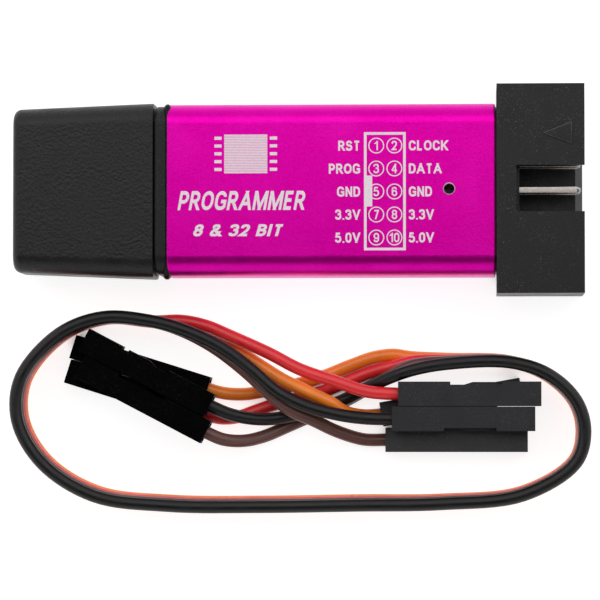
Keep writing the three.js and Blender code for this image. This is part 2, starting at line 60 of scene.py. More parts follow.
def placed(name, data):
    """A new object with this data, in the scene."""
    made = bpy.data.objects.new(name, data)
    bpy.context.scene.collection.objects.link(made)
    return made


def as_mesh(solid, name="scratch"):
    """A solid made into a mesh. The solid is used up."""
    mesh = bpy.data.meshes.new(name)
    solid.to_mesh(mesh)
    solid.free()
    return mesh


# ---- Camera ----

CAMERA_PLACE = Vector((17.3, -23.8, 357)) * MM
CAMERA_TARGET = Vector((0.3, -10.8, 8.8)) * MM
CAMERA_LENS, CAMERA_SENSOR = 216, 36
CAMERA_NEAR = 10 * MM


def camera():
    data = bpy.data.cameras.new("camera")
    data.lens = CAMERA_LENS
    data.sensor_width = CAMERA_SENSOR
    data.clip_start = CAMERA_NEAR
    view = placed("camera", data)
    forward = (CAMERA_TARGET - CAMERA_PLACE).normalized()
    right = forward.cross(Vector((0, 1, 0))).normalized()
    turn = Matrix((right, right.cross(forward), -forward)).transposed()
    view.rotation_mode = "QUATERNION"
    view.rotation_quaternion = turn.to_quaternion()
    view.location = CAMERA_PLACE
    bpy.context.scene.camera = view


camera()

# ---- Materials ----


class Surface:
    """A procedural material: a Principled shader, with short calls that add and join nodes."""

    def __init__(self, name, colour, roughness, metallic=0.0, **sockets):
        self.material = bpy.data.materials.new(name)
        self.material.use_nodes = True
        self.tree = self.material.node_tree
        self.shader = self.tree.nodes["Principled BSDF"]
        self.shader.inputs["Base Color"].default_value = (*linear(colour), 1)
        self.shader.inputs["Roughness"].default_value = roughness
        self.shader.inputs["Metallic"].default_value = metallic
        for socket, value in sockets.items():
            self.shader.inputs[socket.replace("_", " ")].default_value = value
        self.place = self.tree.nodes.new("ShaderNodeTexCoord").outputs["Object"]

    def node(self, kind, inputs, **settings):
        made = self.tree.nodes.new(kind)
        for key, value in settings.items():
            setattr(made, key, value)
        for socket, value in inputs.items():
            if isinstance(value, bpy.types.NodeSocket):
                self.tree.links.new(value, made.inputs[socket])
            else:
                made.inputs[socket].default_value = value
        return made

    def noise(self, size, detail=2.0, stretch=(1, 1, 1)):
        """Noise with features about size millimetres across, drawn out along an axis by stretch."""
        scale = [1 / (size * MM * s) for s in stretch]
        scaled = self.node("ShaderNodeMapping", {"Vector": self.place, "Scale": scale})
        inputs = {"Vector": scaled.outputs[0], "Scale": 1.0, "Detail": detail}
        return self.node("ShaderNodeTexNoise", inputs).outputs["Fac"]

    def spots(self, size, share):
        """Small round specks, one in each cell of size millimetres; share is how much it fills."""
        made = self.node("ShaderNodeTexVoronoi", {"Vector": self.place, "Scale": 1 / (size * MM)})
        return self.between(made.outputs["Distance"], share, share * 0.4)

    def between(self, value, low, high, to_low=0.0, to_high=1.0):
        """A value mapped, and held, from low..high to to_low..to_high."""
        inputs = {0: value, 1: low, 2: high, 3: to_low, 4: to_high}
        return self.node("ShaderNodeMapRange", inputs).outputs[0]

    def times(self, a, b):
        return self.node("ShaderNodeMath", {0: a, 1: b}, operation="MULTIPLY").outputs[0]

    def plus(self, a, b):
        return self.node("ShaderNodeMath", {0: a, 1: b}, operation="ADD").outputs[0]

    def tint(self, share, other):
        """Mixes the base colour, or what already feeds it, towards another colour."""
        base = self.shader.inputs["Base Color"]
        mix = self.node("ShaderNodeMix", {0: share}, data_type="RGBA")
        if base.is_linked:
            self.tree.links.new(base.links[0].from_socket, mix.inputs[6])
        else:
            mix.inputs[6].default_value = base.default_value
        mix.inputs[7].default_value = (*linear(other), 1)
        self.tree.links.new(mix.outputs[2], base)

    def roughen(self, value, low, high):
        self.tree.links.new(self.between(value, 0.3, 0.7, low, high), self.shader.inputs["Roughness"])

    def bump(self, height, depth):
        """Relief of depth millimetres from a height between 0 and 1."""
        inputs = {"Height": height, "Distance": depth * MM, "Strength": 1.0}
        made = self.node("ShaderNodeBump", inputs)
        before = self.shader.inputs["Normal"]
        if before.is_linked:
            self.tree.links.new(before.links[0].from_socket, made.inputs["Normal"])
        self.tree.links.new(made.outputs[0], before)


def linear(colour):
    """An sRGB colour, 0 to 255, as linear values."""
    shares = [c / 255 for c in colour]
    return [c / 12.92 if c <= 0.04045 else ((c + 0.055) / 1.055) ** 2.4 for c in shares]


def moulded(name, colour, roughness, grain, depth, dust, sheen=0.4, scuffs=0.0):
    """Black moulded plastic: eroded grain, uneven gloss, a haze of dust, specks and short scuffs."""
    s = Surface(name, colour, roughness, Specular_IOR_Level=sheen)
    fine = s.noise(grain, 3)
    s.bump(fine, depth)
    s.roughen(s.noise(2.5, 2), roughness - 0.06, roughness + 0.08)
    s.tint(s.between(fine, 0.35, 0.7, 0, 0.6), [c * 1.3 for c in colour])
    haze = s.times(s.between(s.noise(0.13, 1), 0.6, 0.74), s.between(s.noise(2.6, 2), 0.35, 0.62))
    s.tint(s.times(haze, dust), (118, 114, 114))
    specks = s.times(s.spots(1.3, 0.06), s.between(s.noise(3.0), 0.45, 0.6))
    s.tint(s.times(specks, min(1.6 * dust, 0.9)), (160, 156, 152))
    if scuffs:
        lines = s.noise(0.16, 1, stretch=(1, 4, 1))
        marks = s.times(s.between(lines, 0.72, 0.78), s.between(s.noise(1.9), 0.56, 0.66))
        s.tint(s.times(marks, scuffs), (120, 117, 115))
    return s.material


def anodised():
    """Bead-blasted aluminium under magenta dye: fine sparkle, faint extrusion lines, uneven dye."""
    s = Surface("anodised_magenta", (228, 7, 172), 0.34, 1.0)
    blast = s.noise(0.14, 3)
    s.bump(blast, 0.013)
    s.bump(s.noise(0.3, 2, stretch=(14, 1, 1)), 0.003)
    s.roughen(s.plus(s.times(blast, 0.5), s.times(s.noise(0.8, 2), 0.5)), 0.28, 0.42)
    s.tint(s.between(s.noise(0.14, 2), 0.35, 0.65, 0, 0.5), (190, 4, 138))
    s.tint(s.between(s.noise(5, 2), 0.4, 0.7, 0, 0.12), (255, 40, 205))
    return s.material


def laser_mark():
    """The dye burnt away to pale grey oxide, with traces of dye between the laser's passes."""
    s = Surface("laser_mark", (238, 226, 233), 0.6)
    passes = s.noise(0.09, 2, stretch=(5, 1, 1))
    s.tint(s.between(passes, 0.52, 0.75, 0, 0.35), (226, 150, 200))
    s.tint(s.between(s.noise(0.25, 3), 0.55, 0.8, 0, 0.3), (190, 170, 182))
    s.bump(s.noise(0.08, 2), 0.004)
    s.roughen(passes, 0.5, 0.72)
    return s.material


def metal(name, colour, roughness, lines=(12, 1, 1), stain=None, relief=0.002, pitch=0.07):
    """Plated metal with fine drawing lines along its length and uneven tarnish."""
    s = Surface(name, colour, roughness, 1.0)
    drawn = s.noise(pitch, 2, stretch=lines)
    s.bump(drawn, relief)
    s.roughen(s.noise(0.5, 3), roughness - 0.06, roughness + 0.08)
    s.tint(s.between(drawn, 0.4, 0.7, 0, 0.25), [c * 0.86 for c in colour])
    s.tint(s.between(s.noise(1.6, 2), 0.45, 0.85, 0, 0.5), stain or [c * 0.86 for c in colour])
    return s.material


def insulation(name, colour, painted_glint, sheen=0.55, roughness=0.36):
    """Extruded PVC: soft satin, faint orange-peel, slow changes of shade and scattered specks in a
    paler tone of its colour, which are painted glints.
    """
    s = Surface(name, colour, roughness, Specular_IOR_Level=sheen)
    s.bump(s.noise(0.45, 2), 0.012)
    s.bump(s.noise(0.09, 2), 0.002)
    s.roughen(s.noise(1.4, 2), roughness - 0.07, roughness + 0.1)
    s.tint(s.between(s.noise(3.5, 2), 0.4, 0.7, 0, 0.5), [c * 0.86 for c in colour])
    # Scattered specks mixed towards a paler tone of the wire's colour: painted glints.
    s.tint(s.times(s.times(s.spots(1.1, 0.06), s.between(s.noise(2.0), 0.45, 0.6)), 0.5), painted_glint)
    return s.material


def laminate():
    """Blue solder mask with the weave of the glass cloth just showing through."""
    s = Surface("solder_mask", (22, 66, 140), 0.35)
    warp = s.noise(0.3, 1, stretch=(5, 1, 1))
    weft = s.noise(0.3, 1, stretch=(1, 5, 1))
    s.bump(s.plus(warp, weft), 0.005)
    s.tint(s.between(s.times(warp, weft), 0.2, 0.35, 0, 0.4), (14, 48, 112))
    s.roughen(s.noise(1.5), 0.28, 0.42)
    return s.material


def lens(name, colour):
    s = Surface(name, colour, 0.25, Coat_Weight=0.4)
    s.tint(s.between(s.noise(0.3), 0.4, 0.7, 0, 0.4), (250, 246, 230))
    s.bump(s.noise(0.12), 0.003)
    return s.material


def ceramic():
    s = Surface("tan_ceramic", (172, 134, 96), 0.5)
    s.tint(s.between(s.noise(0.1, 3), 0.4, 0.7, 0, 0.5), (148, 110, 78))
    s.bump(s.noise(0.06, 2), 0.004)
    s.roughen(s.noise(0.2), 0.42, 0.6)
    return s.material


# A plastic's numbers are its colour, roughness, grain size, grain depth, dust, sheen and scuffs.
# A metal's are its colour, roughness, how far its lines are drawn out, stain, relief and line pitch.
CAP_BLACK = moulded("cap_black", (16, 15, 17), 0.4, 0.3, 0.055, 0.12, 0.36)
COLLAR_BLACK = moulded("collar_black", (16, 16, 17), 0.4, 0.16, 0.01, 0.3, 0.28, 0.4)
HEADER_BLACK = moulded("header_black", (18, 17, 18), 0.42, 0.12, 0.015, 0.3, 0.34, 0.4)
# The header's second look is glossier, as a polished face is, and also painted lighter than the plain
# black: a painted highlight.
HEADER_GLOSS_PAINTED_LIGHT = moulded("header_black_polished_painted_light", (34, 33, 34), 0.3, 0.2, 0.004, 0.2, 0.7)
HOUSING_BLACK = moulded("housing_black", (28, 27, 30), 0.42, 0.16, 0.006, 0.25, 0.4, 0.5)
# A lighter, glossier copy of the housing plastic, with a little more dust and scuffing: painted light
# on a housing that lies in another's shade.
HOUSING_PAINTED_LIGHT = moulded("housing_painted_light", (40, 39, 42), 0.42, 0.16, 0.006, 0.3, 0.5, 0.6)
# A near-black, almost unreflecting copy of the housing plastic: painted shade.
HOUSING_PAINTED_SHADE = moulded("housing_painted_shade", (3, 3, 4), 0.4, 0.16, 0.005, 0.07, 0.02, 0.25)
TONGUE_BLACK = moulded("tongue_black", (20, 20, 22), 0.45, 0.12, 0.005, 0.3)
EPOXY = moulded("epoxy", (26, 26, 28), 0.6, 0.1, 0.006, 0.2)
GLUE = moulded("glue_black", (5, 5, 5), 0.3, 0.4, 0.02, 0.1, 0.2)
MAGENTA = anodised()
MARK = laser_mark()
TIN = metal("tin", (178, 171, 167), 0.2, (20, 1, 1), (170, 163, 159), 0.0002, 0.12)
BARE = metal("bare_aluminium", (215, 213, 210), 0.3)
CRIMP_TIN = metal("crimp_tin", (205, 200, 192), 0.32)
STEEL = metal("nickel_steel", (205, 206, 208), 0.26, (16, 1, 1), (178, 177, 174), 0.0007, 0.16)
GOLD = metal("gold_flash", (226, 186, 98), 0.28)
CAN = metal("crystal_can", (200, 200, 196), 0.3)
BOARD_BLUE = laminate()
CERAMIC = ceramic()
LENS = {"red": lens("lens_red", (120, 62, 54)), "blue": lens("lens_blue", (74, 84, 120))}
# Each wire's colour and the paler colour of its painted glints, and for some a sheen and roughness of
# their own.
WIRE_FINISH = {
    "black": insulation("insulation_black", (16, 16, 18), (92, 92, 94), 0.36),
    "brown": insulation("insulation_brown", (98, 62, 56), (170, 140, 130)),
    "red": insulation("insulation_red", (240, 42, 48), (250, 170, 170), 0.65, 0.33),
    "orange": insulation("insulation_orange", (255, 136, 34), (255, 200, 150), 0.65, 0.33),
}

# ---- Solids ----


def ring(x, width, height, radius, mid=(0.0, 0.0), steps=8):
    """A rounded rectangle across the X axis, as points."""
    points = []
    for corner, (side_y, side_z) in enumerate(((1, 1), (-1, 1), (-1, -1), (1, -1))):
        for step in range(steps + 1):
            angle = math.pi / 2 * (corner + step / steps)
            y = side_y * (width / 2 - radius) + radius * math.cos(angle)
            z = side_z * (height / 2 - radius) + radius * math.sin(angle)
            points.append(Vector((x, mid[0] + y, mid[1] + z)))
    return points


def loft(rings, closed=False):
    """A solid through rings of one count. Its ends are filled, or joined to each other if closed."""
    solid = bmesh.new()
    rows = [[solid.verts.new(point) for point in points] for points in rings]
    following = rows[1:] + (rows[:1] if closed else [])
    for row, after in zip(rows, following):
        for i in range(len(row)):
            j = (i + 1) % len(row)
            solid.faces.new((row[i], row[j], after[j], after[i]))
    if not closed:
        solid.faces.new(rows[0])
        solid.faces.new(rows[-1])
    bmesh.ops.recalc_face_normals(solid, faces=solid.faces)
    return solid


def bar(x0, x1, width, height, radius, mid=(0.0, 0.0), edge=0.0, steps=8, slope=1.0):
    """A rounded bar along X whose two ends have a small chamfer, edge deep and edge / slope long."""
    long = edge / slope
    rings = [(x0, -edge), (x0 + long, 0), (x1 - long, 0), (x1, -edge)] if edge else [(x0, 0), (x1, 0)]
    return loft([
        ring(x, width + 2 * grow, height + 2 * grow, radius + grow, mid, steps) for x, grow in rings
    ])


def block(low, high):
    """A box between two corners."""
    solid = bmesh.new()
    bmesh.ops.create_cube(solid, size=1)
    low, high = Vector(low), Vector(high)
    for vert in solid.verts:
        share = vert.co + Vector((0.5, 0.5, 0.5))
        vert.co = Vector([low[i] + share[i] * (high[i] - low[i]) for i in range(3)])
    return solid


def prism(points, low, high, axis="z"):
    """An outline of (a, b) points drawn out from low to high along an axis."""
    place = {"z": lambda a, b, c: (a, b, c), "y": lambda a, b, c: (a, c, b)}[axis]
    return loft([[Vector(place(a, b, c)) for a, b in points] for c in (low, high)])


def lathe(profile, place, steps=32, closed=False):
    """A solid turned about the vertical axis through place, from a profile of (radius, z) points."""
    x, y = place
    angles = [2 * math.pi * i / steps for i in range(steps)]
    return loft([
        [Vector((x + radius * math.cos(a), y + radius * math.sin(a), z)) for a in angles]
        for radius, z in profile
    ], closed)


def combined(solid, tool, operation):
    """One solid cut by, or joined to, another. Both are used up."""
    body, other = placed("scratch", as_mesh(solid)), placed("scratch", as_mesh(tool))
    modifier = body.modifiers.new("boolean", "BOOLEAN")
    modifier.object = other
    modifier.operation = operation
    modifier.solver = "EXACT"
    graph = bpy.context.evaluated_depsgraph_get()
    made = bmesh.new()
    made.from_mesh(body.evaluated_get(graph).to_mesh())
    for used in (body, other):
        mesh = used.data
        bpy.data.objects.remove(used)
        bpy.data.meshes.remove(mesh)
    bmesh.ops.remove_doubles(made, verts=made.verts, dist=1e-5)
    return made


def cut(solid, *tools):
    for tool in tools:
        solid = combined(solid, tool, "DIFFERENCE")
    return solid


def join(solid, *others):
    for other in others:
        solid = combined(solid, other, "UNION")
    return solid


def soften(solid, width, segments=2, angle=30):
    """Rounds the edges that turn by more than angle degrees."""
    bmesh.ops.dissolve_limit(
        solid, angle_limit=math.radians(0.5), verts=solid.verts, edges=solid.edges
    )
    limit = math.radians(angle)
    edges = [e for e in solid.edges if e.is_manifold and e.calc_face_angle() > limit]
    bmesh.ops.bevel(
        solid, geom=edges, offset=width, offset_type="OFFSET", segments=segments,
        profile=0.5, affect="EDGES", clamp_overlap=True,
    )
    return solid


def gathered(*solids):
    """Several solids kept as separate shells of one mesh."""
    whole = bmesh.new()
    for solid in solids:
        mesh = as_mesh(solid)
        whole.from_mesh(mesh)
        bpy.data.meshes.remove(mesh)
    return whole


def from_cad(node):
    """A copy of a CAD node's solid, in millimetres, with its triangles merged into faces."""
    solid = bmesh.new()
    solid.from_mesh(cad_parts[node].data)
    bmesh.ops.scale(solid, vec=(1 / MM,) * 3, verts=solid.verts)
    bmesh.ops.remove_doubles(solid, verts=solid.verts, dist=1e-4)
    bmesh.ops.dissolve_limit(
        solid, angle_limit=math.radians(1), verts=solid.verts, edges=solid.edges
    )
    return solid


def moved(solid, matrix):
    bmesh.ops.transform(solid, matrix=matrix, verts=solid.verts)
    return solid


def piece(name, solid, material, body="programmer", node=None, smooth=35):
    """Makes a solid into a piece that rides a body, and stands for a CAD node if one is named."""
    bmesh.ops.scale(solid, vec=(MM,) * 3, verts=solid.verts)
    mesh = as_mesh(solid, name)
    mesh.shade_smooth()
    mesh.set_sharp_from_angle(angle=math.radians(smooth))
    made = placed(name, mesh)
    for finish in material if isinstance(material, list) else [material]:
        mesh.materials.append(finish)
    shading = made.modifiers.new("even_shading", "WEIGHTED_NORMAL")
    shading.keep_sharp = True
    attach(made, body)
    if node:
        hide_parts(node)
    return made


def stand_in(node, solid, material, body="programmer"):
    """The finer piece that stands for a CAD node."""
    return piece(node + "_fine", solid, material, body, node)


# ---- Jumper lead ----

WIRE_DIAMETER = 1.27
WIRE_PITCH = 1.3
WIRE_CLEARANCE = 0.015  # between the lowest wire and the floor
WIRE_DEPTH = 1.0  # how far a wire reaches into its housing
SOCKET = {
    "length": 14.0, "side": 2.4, "cavity": 1.9, "edge": 0.07,
    "mouth": 1.0, "mouth_depth": 0.9, "flare": 1.5,
}
LATCH = {"from": 5.1, "to": 10.2, "depth": 0.3, "slit": 0.11, "tab": 0.95, "ramp": 1.2}

# The middle of each housing's wire end, the way its open end points and its roll, in degrees.
HOUSINGS = {
    "black_a": ((-8.8, -21, 3.65), 152.3, 90),
    "brown_a": ((-9.15, -23.63, 3.65), 152.3, 90),
    "orange_a": ((-9.18, -19.33, 1.2), 162.5, 180),
    "red_a": ((-9.7, -21.75, 1.2), 162.5, 180),
    "red_b": ((9.7, -19.85, 3.65), 0, -90),
    "black_b": ((9.1, -22.3, 3.65), 0, 90),
    "brown_b": ((8.4, -24.35, 1.2), 0, 180),
    "orange_b": ((8, -21.85, 1.2), 10, 180),
}

# The stretch where the four wires are one ribbon on its edge: x, y and its lean in degrees.
RIBBON = [
    (11.1, -17.5, 20), (14.5, -16.9, 8), (20.6, -16.75, 2), (24.4, -17.95, -1), (27.1, -20.5, -2),
    (27.95, -23.5, -3), (27.05, -26.6, -3), (21.9, -29.75, -4), (14, -30.6, -5), (5.7, -30.75, -6),
    (-4, -30.9, -6), (-13, -30.8, -6), (-20.2, -29.85, -5), (-25.3, -26.65, -3), (-27.75, -22.4, -2),
    (-27.4, -18.2, -1), (-23.6, -13.9, 0), (-19.3, -12.3, 0), (-14.7, -12.65, 0),
]

# Each wire: its place below the ribbon's top, its length in metres and its own route at each end.
WIRES = {
    "black": (0, 0.1526, [
        (-7.1, -21.75, 3.5), (-5.2, -22.2, 2.85), (-3.1, -22.3, 2.1), (-0.8, -21.95, 1.9),
        (1.7, -21.3, 1.95), (4.1, -20.5, 1.95), (6.3, -19.4, 2.25), (8.5, -18.4, 3.5),
    ], [
        (-11.5, -13.5, 4.5), (-7.8, -15.2, 4.35), (-4.9, -17.3, 4.3), (-2.2, -19.6, 4.35),
        (0.1, -20.8, 4.4), (2.2, -21.5, 4.5), (4.5, -22, 4.3), (6.7, -22.25, 3.8),
    ]),
    "brown": (1, 0.1542, [
        (-7.55, -24.3, 3.4), (-5.6, -24.45, 2.5), (-3.6, -24, 1.4), (-1.5, -23.1, 0.72), (1, -22, 0.65),
        (4.2, -20.6, 0.65), (6.4, -19.4, 0.8), (8.6, -18.2, 2),
    ], [
        (-11.6, -13.6, 3.2), (-8.4, -15.3, 2.95), (-5.4, -17.6, 2.9), (-2.9, -19.9, 3),
        (-1, -21.4, 3.25), (1.3, -22.4, 3.1), (3.6, -23.5, 2.2), (6.2, -24.3, 1.3),
    ]),
    "red": (2, 0.1517, [
        (-8, -22.2, 1.1), (-6.3, -22.1, 0.78), (-4.4, -21.45, 0.65), (-2.3, -20.75, 0.65),
        (0, -20.2, 0.65), (2.4, -19.5, 0.65), (4.9, -18.45, 0.65), (7, -17.65, 0.85),
        (8.9, -17.15, 1.2),
    ], [
        (-11.7, -12.6, 2), (-9.3, -13.1, 2.3), (-6.9, -14.1, 2.6), (-3.1, -15.8, 3), (0, -17.4, 3.3),
        (3.5, -18.6, 3.8), (6.6, -19.6, 4),
    ]),
    "orange": (3, 0.1503, [
        (-7.5, -19.75, 1), (-5.3, -19.8, 0.7), (-2.5, -19.25, 0.65), (0, -18.75, 0.65),
        (2.4, -18, 0.65), (4.9, -17, 0.65), (7.2, -16.2, 0.65), (9.2, -15.95, 0.65),
    ], [
        (-11.8, -13.1, 0.65), (-8.5, -14.3, 0.85), (-5.5, -16, 1.5), (-1.8, -18.35, 2.7),
        (1.15, -19.8, 3.45), (3.15, -20.75, 3.4), (4.5, -21.6, 2.75), (6.3, -21.95, 1.65),
    ]),
}


def housing_frame(key):
    """The matrix that takes a housing lying along +X from the origin, latch up, to its place."""
    at, yaw, roll = HOUSINGS[key]
    turn = Matrix.Rotation(math.radians(yaw), 4, "Z") @ Matrix.Rotation(math.radians(roll), 4, "X")
    return Matrix.Translation(at) @ turn


def ribbon_point(index, below):
    """Where one of the ribbon's wires lies at one of the ribbon's points."""
    x, y, lean = RIBBON[index]
    before = RIBBON[max(index - 1, 0)]
    after = RIBBON[min(index + 1, len(RIBBON) - 1)]
    along = Vector((after[0] - before[0], after[1] - before[1])).normalized()
    out = below * WIRE_PITCH * math.sin(math.radians(lean))
    up = (3 - below) * WIRE_PITCH * math.cos(math.radians(lean))
    z = WIRE_DIAMETER / 2 + WIRE_CLEARANCE + up
    return Vector((x - along.y * out, y + along.x * out, z))


def wire_points(name):
    below, _, start, finish = WIRES[name]
    first, last = housing_frame(name + "_a"), housing_frame(name + "_b")
    inside = Vector((WIRE_DEPTH, 0, 0))
    return [
        first @ inside, first.translation, *map(Vector, start),
        *[ribbon_point(index, below) for index in range(len(RIBBON))],
        *map(Vector, finish), last.translation, last @ inside,
    ]


def smooth_route(points, per_span=8):
    """The centripetal Catmull-Rom curve through the points."""
    reach = [2 * points[0] - points[1], *points, 2 * points[-1] - points[-2]]
    route = []
    for a, b, c, d in zip(reach, reach[1:], reach[2:], reach[3:]):
        g, h, k = (math.sqrt((q - p).length) for p, q in ((a, b), (b, c), (c, d)))
        leave = ((b - a) / g - (c - a) / (g + h) + (c - b) / h) * h
        arrive = ((c - b) / h - (d - b) / (h + k) + (d - c) / k) * h
        for step in range(per_span):
            t = step / per_span
            route.append(
                (2 * t**3 - 3 * t**2 + 1) * b + (t**3 - 2 * t**2 + t) * leave
                + (3 * t**2 - 2 * t**3) * c + (t**3 - t**2) * arrive
            )
    return [*route, points[-1]]


def wire_curve(name):
    data = bpy.data.curves.new("insulated_" + name, "CURVE")
    data.dimensions = "3D"
    data.bevel_depth = WIRE_DIAMETER / 2 * MM
    data.bevel_resolution = 6
    data.use_fill_caps = True
    route = smooth_route(wire_points(name))
    spline = data.splines.new("POLY")
    spline.points.add(len(route) - 1)
    for point, place in zip(spline.points, route):
        point.co = (*(place * MM), 1)
    spline.use_smooth = True
    data.materials.append(WIRE_FINISH[name])
    made = placed("insulated_" + name, data)
    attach(made, "lead_set")
    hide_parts("wire_" + name)
    return made


def socket_housing():
    """A one-way housing along +X: bored for its terminal, flared at the mouth, latch tab on top."""
    length, side, cavity = SOCKET["length"], SOCKET["side"], SOCKET["cavity"]
    mouth, flare = SOCKET["mouth"], SOCKET["flare"]
    half, top = side / 2, side / 2 - LATCH["depth"]
    bore_end = length - SOCKET["mouth_depth"]
    solid = cut(
        block((0, -half, -half), (length, half, half)),
        block((LATCH["from"], -side, top), (LATCH["to"], side, side)),
        bar(-1, bore_end, cavity, cavity, 0.1, steps=2),
        bar(bore_end - 1, length + 1, mouth, mouth, 0.05, steps=2),
        loft([
            ring(bore_end + 0.35, mouth, mouth, 0.05, steps=2),
            ring(length + 0.01, flare, flare, 0.08, steps=2),
        ]),
    )
    tab_from, tab_to = LATCH["from"] + 1.0, LATCH["to"] - 0.5
    tab, slit = LATCH["tab"] / 2, LATCH["slit"]
    for y in (-tab - slit, tab):
        solid = cut(solid, block((tab_from, y, 0), (tab_to, y + slit, side)))
    solid = cut(solid, block((tab_to - slit, -tab - slit / 2, 0), (tab_to, tab + slit / 2, side)))
    sunk, crest, back = top - 0.1, half - 0.03, tab_to - slit
    outline = [(tab_from, sunk), (back, sunk), (back, crest), (tab_from + LATCH["ramp"], crest)]
    return soften(join(solid, prism(outline, -tab, tab, "y")), SOCKET["edge"], 2, 40)


def crimp_terminal():
    """A folded terminal along +X: crimped barrel with its two wings curled in, neck and pin socket."""
    start = WIRE_DEPTH + 0.3
    neck, socket, end = start + 3.9, start + 4.7, SOCKET["length"] - SOCKET["mouth_depth"] - 0.1
    barrel = []
    for x, radius in ((start, 0.74), (start + 0.2, 0.68), (neck - 0.3, 0.68), (neck, 0.6)):
        points = []
        for step in range(24):
            angle = 2 * math.pi * step / 24
            pinched = radius - 0.2 * math.exp(-((angle - math.pi / 2) / 0.28) ** 2)
            points.append(Vector((x, pinched * math.cos(angle), pinched * math.sin(angle))))
        barrel.append(points)
    strap = block((neck - 0.2, -0.5, -0.68), (socket + 0.2, 0.5, -0.48))
    shell = bar(socket, end, 1.72, 1.72, 0.25, steps=4, edge=0.05)
    bore = bar(socket - 1, end + 1, 1.1, 1.1, 0.1, steps=2)
    seam = block((socket - 1, -0.05, 0.3), (end + 1, 0.05, 2))
    window = block((socket + 2, -0.3, -2), (socket + 3.4, 0.3, -0.3))
    shell = soften(cut(shell, bore, seam, window), 0.03, 1)
    return gathered(loft(barrel), soften(strap, 0.04), shell)


# The housings on one end of the lead get a much darker, duller copy of the plastic as painted shade;
# brown_b gets a lighter copy as painted light where the housing above shades it.
HOUSING_FINISH = {"a": HOUSING_PAINTED_SHADE, "b": HOUSING_BLACK, "brown_b": HOUSING_PAINTED_LIGHT}


def jumper_lead():
    cords = {name: wire_curve(name) for name in WIRES}
    housing, terminal = socket_housing(), crimp_terminal()
    for name, cord in cords.items():
        for end in "ab":
            key = name + "_" + end
            place = housing_frame(key)
            plastic = HOUSING_FINISH.get(key, HOUSING_FINISH[end])
            for kind, solid, finish, slot in (
                ("housing", housing, plastic, "housing_plastic"),
                ("terminal", terminal, CRIMP_TIN, "terminal_tin"),
            ):
                copy = moved(solid.copy(), place)
                stand_in(kind + "_" + key, copy, finish, "lead_set")
    housing.free()
    terminal.free()


jumper_lead()

# ---- Programmer's housing ----

CAP_LOW, CAP_HIGH = span("usb_cap")
COLLAR_LOW, COLLAR_HIGH = span("end_collar")
TUBE_LOW, TUBE_HIGH = span("tube_shell")
HEADER_LOW, HEADER_HIGH = span("header_shroud")
PLUG_LOW, PLUG_HIGH = span("usb_plug_shell")
BOARD_LOW, BOARD_HIGH = span("circuit_board")
LED_LOW, LED_HIGH = span("status_led_red")
MID_Z = (TUBE_LOW.z + TUBE_HIGH.z) / 2
TUBE_WIDTH = TUBE_HIGH.y - TUBE_LOW.y
TUBE_HEIGHT = TUBE_HIGH.z - TUBE_LOW.z
RIM_X = HEADER_HIGH.x
MID = (0, MID_Z)

PLUG_SIZE, PLUG_WALL = (12.0, 4.5), 0.3
CAP = {"width": 17.1, "end_width": 16, "height": 8.1, "radius": 1.9, "edge": 0.75, "play": 0.25}
COLLAR = {"width": 16.5, "height": 7.8, "radius": 1.9, "flange": 1.15, "edge": 0.14}
TUBE = {"radius": 2.0, "side_wall": 1.4, "wall": 1.0, "bore_radius": 0.9, "edge": 0.08}
LED_HOLE = {"radius": 0.5, "countersink": 0.62, "depth": 0.09}
HEADER_TOP = 8.9
HEADER = {"wall": 1.22, "flare": 0.7, "floor": 2.25, "key": 4.5, "edge": 0.07}
PLAY = 0.1  # between the board and what holds it
GLUE_SEED, GLUE_RADIUS = 11, 0.1
# The tube's second look is bare metal in the countersink; the header's is its lighter, glossier look
# with a painted highlight.
BARE_SLOT = GLOSS_PAINTED_LIGHT_SLOT = 1  # the second look of the tube and of the header


def usb_cap():
    """Pull-off cap: drafted outside with rounded edges, chamfered mouth, gripping ribs inside."""
    mouth, end = CAP_HIGH.x, CAP_LOW.x
    width, height, edge = CAP["width"], CAP["height"], CAP["edge"]
    draft = (1 - CAP["end_width"] / width) / (mouth - end)
    angles = [math.pi / 2 * step / 6 for step in range(7)]
    profile = [(end + edge * (1 - math.cos(a)), edge * (1 - math.sin(a))) for a in angles]
    profile += [(mouth - 3, 0), (mouth - 0.18, 0), (mouth - 0.05, 0.05), (mouth, 0.16)]
    outside = []
    for x, inwards in profile:
        scale = 1 - draft * (mouth - x)
        outside.append(ring(
            x, width * scale - 2 * inwards, height * scale - 2 * inwards,
            max(CAP["radius"] * scale - inwards, 0.3), MID,
        ))
    cavity_end = PLUG_LOW.x - 0.4
    inner_width, inner_height = (side + 2 * CAP["play"] for side in PLUG_SIZE)
    cavity = loft([
        ring(x, inner_width + flare, inner_height + flare, radius, MID, 4)
        for x, flare, radius in ((cavity_end, 0, 0.6), (mouth - 0.5, 0, 0.6), (mouth + 0.1, 1.2, 1.1))
    ])
    ribs = []
    for y in (-3.6, 0, 3.6):
        for side in (-1, 1):
            wall = MID_Z + side * inner_height / 2
            low, high = sorted((wall - side * 0.16, wall + side * 0.3))
            rib = block((cavity_end - 0.2, y - 0.3, low), (mouth - 1.6, y + 0.3, high))
            ribs.append(soften(rib, 0.08))
    return join(cut(loft(outside), cavity), *ribs)


